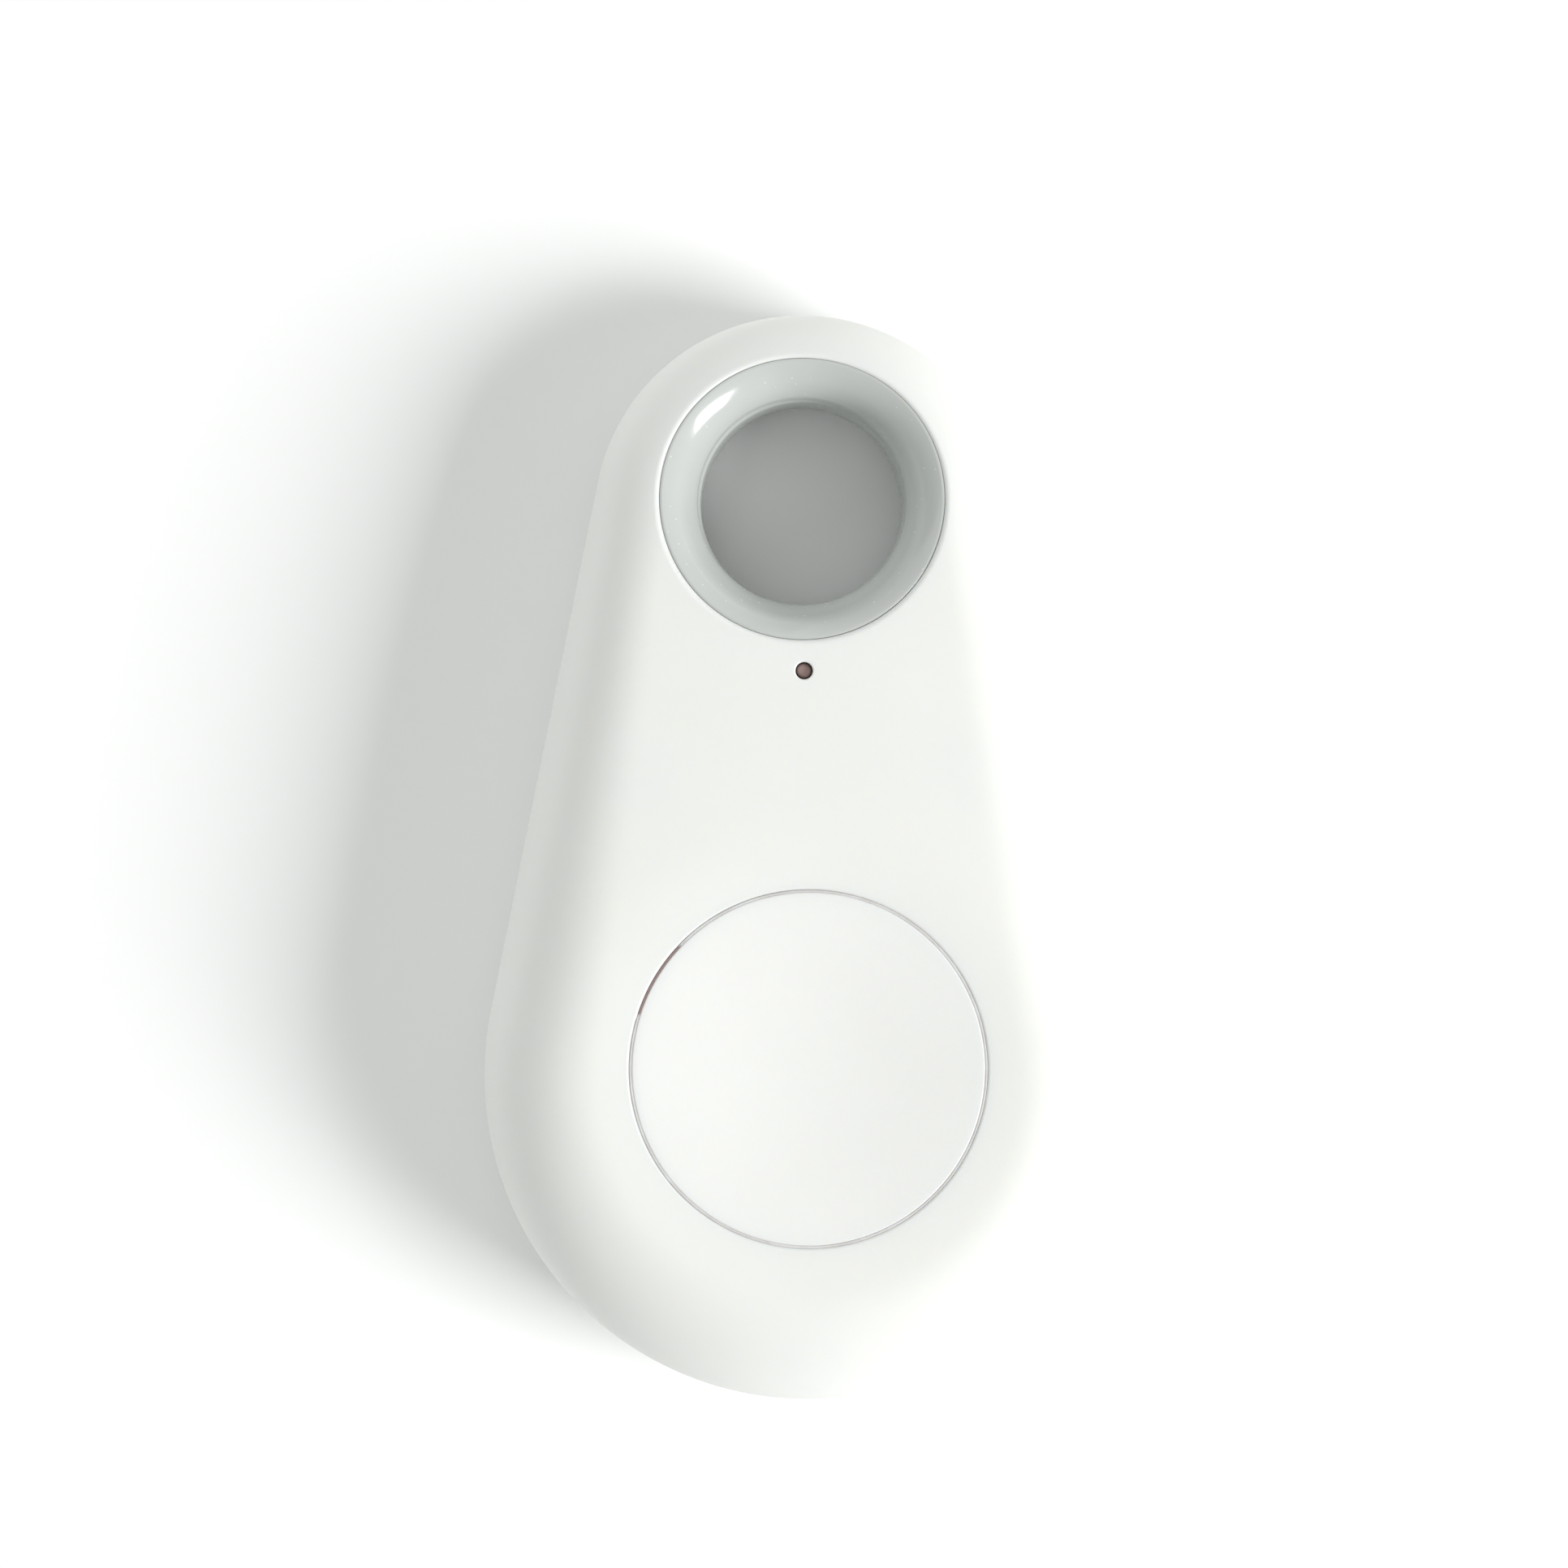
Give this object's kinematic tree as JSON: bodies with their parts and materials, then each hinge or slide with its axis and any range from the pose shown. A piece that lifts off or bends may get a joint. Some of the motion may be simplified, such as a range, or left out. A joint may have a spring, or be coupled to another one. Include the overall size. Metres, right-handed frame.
{
  "type": "bluetooth tracker tag",
  "caption": "Flat teardrop key-finder tag with a round push button, a lined key-ring hole, a pin hole and a lift-off rear cover over a coin cell.",
  "frame": {"origin": "under the middle of the outline, on the flat underside of the rear cover", "axes": "+Y along the tag towards the key-ring hole, +Z out of the front face with the button, +X to the right seen from the front"},
  "size_m": [0.031, 0.052, 0.0109],
  "materials": {
    "shell": "satin white moulding",
    "button": "satin white moulding",
    "eyelet": "polished pale grey",
    "board": "green solder mask",
    "dark_plastic": "fine matt",
    "holder": "fine matt",
    "steel": "bright stamped",
    "contact": "nickel plated strip",
    "copper": "enamelled winding",
    "magnet": "nickel plated",
    "chip_ceramic": "fired ceramic",
    "resistor": "glazed",
    "lens": "smoky resin",
    "led_body": "white resin",
    "cathode": "pressed powder",
    "separator": "thin felt",
    "lithium": "dull foil"
  },
  "bodies": {
    "tag_body": {"front_shell": "shell", "eyelet_ring": "eyelet", "circuit_board": "board", "switch_housing": "dark_plastic", "switch_dome": "steel", "switch_frame": "steel", "buzzer_base": "dark_plastic", "buzzer_yoke": "steel", "buzzer_coil": "copper", "buzzer_magnet": "magnet", "buzzer_diaphragm": "steel", "buzzer_case": "dark_plastic", "led_package": "led_body", "led_lens": "lens", "radio_chip": "dark_plastic", "crystal": "steel", "sleep_crystal": "steel", "antenna_trace": "contact", "capacitor_1": "chip_ceramic", "capacitor_2": "chip_ceramic", "capacitor_3": "chip_ceramic", "capacitor_4": "chip_ceramic", "capacitor_5": "chip_ceramic", "capacitor_6": "chip_ceramic", "resistor_1": "resistor", "resistor_2": "resistor", "resistor_3": "resistor", "resistor_4": "resistor", "inductor": "dark_plastic", "battery_holder": "holder", "positive_contact": "contact", "negative_contact": "contact", "board_screw_1": "steel", "board_screw_2": "steel", "board_screw_3": "steel"},
    "button": {"button_cap": "button"},
    "switch_plunger": {"switch_plunger": "dark_plastic"},
    "rear_cover": {"rear_cover": "shell"},
    "coin_cell": {"cell_can": "steel", "cell_gasket": "dark_plastic", "cell_cap": "steel", "cathode_pellet": "cathode", "separator_disc": "separator", "lithium_disc": "lithium"}
  },
  "joints": [
    {"name": "button_press", "type": "slide", "parent": "tag_body", "child": "button", "axis": [0, 0, -1], "range_m": [0, 0.00025], "stiffness_N_per_m": 4000, "springref_m": -0.0001, "deforming": ["switch_dome"]},
    {"name": "plunger_press", "type": "slide", "parent": "tag_body", "child": "switch_plunger", "axis": [0, 0, -1], "range_m": [0, 0.00025]},
    {"name": "rear_cover_off", "type": "slide", "parent": "tag_body", "child": "rear_cover", "axis": [0, 0, -1], "range_m": [0, 0.02]},
    {"name": "cell_out", "type": "slide", "parent": "tag_body", "child": "coin_cell", "axis": [0, 0, -1], "range_m": [0, 0.01]}
  ],
  "couplings": [
    {"joint": "plunger_press", "follows": "button_press", "ratio": 1},
    {"joint": "cell_out", "follows": "rear_cover_off", "ratio": 0.5}
  ]
}
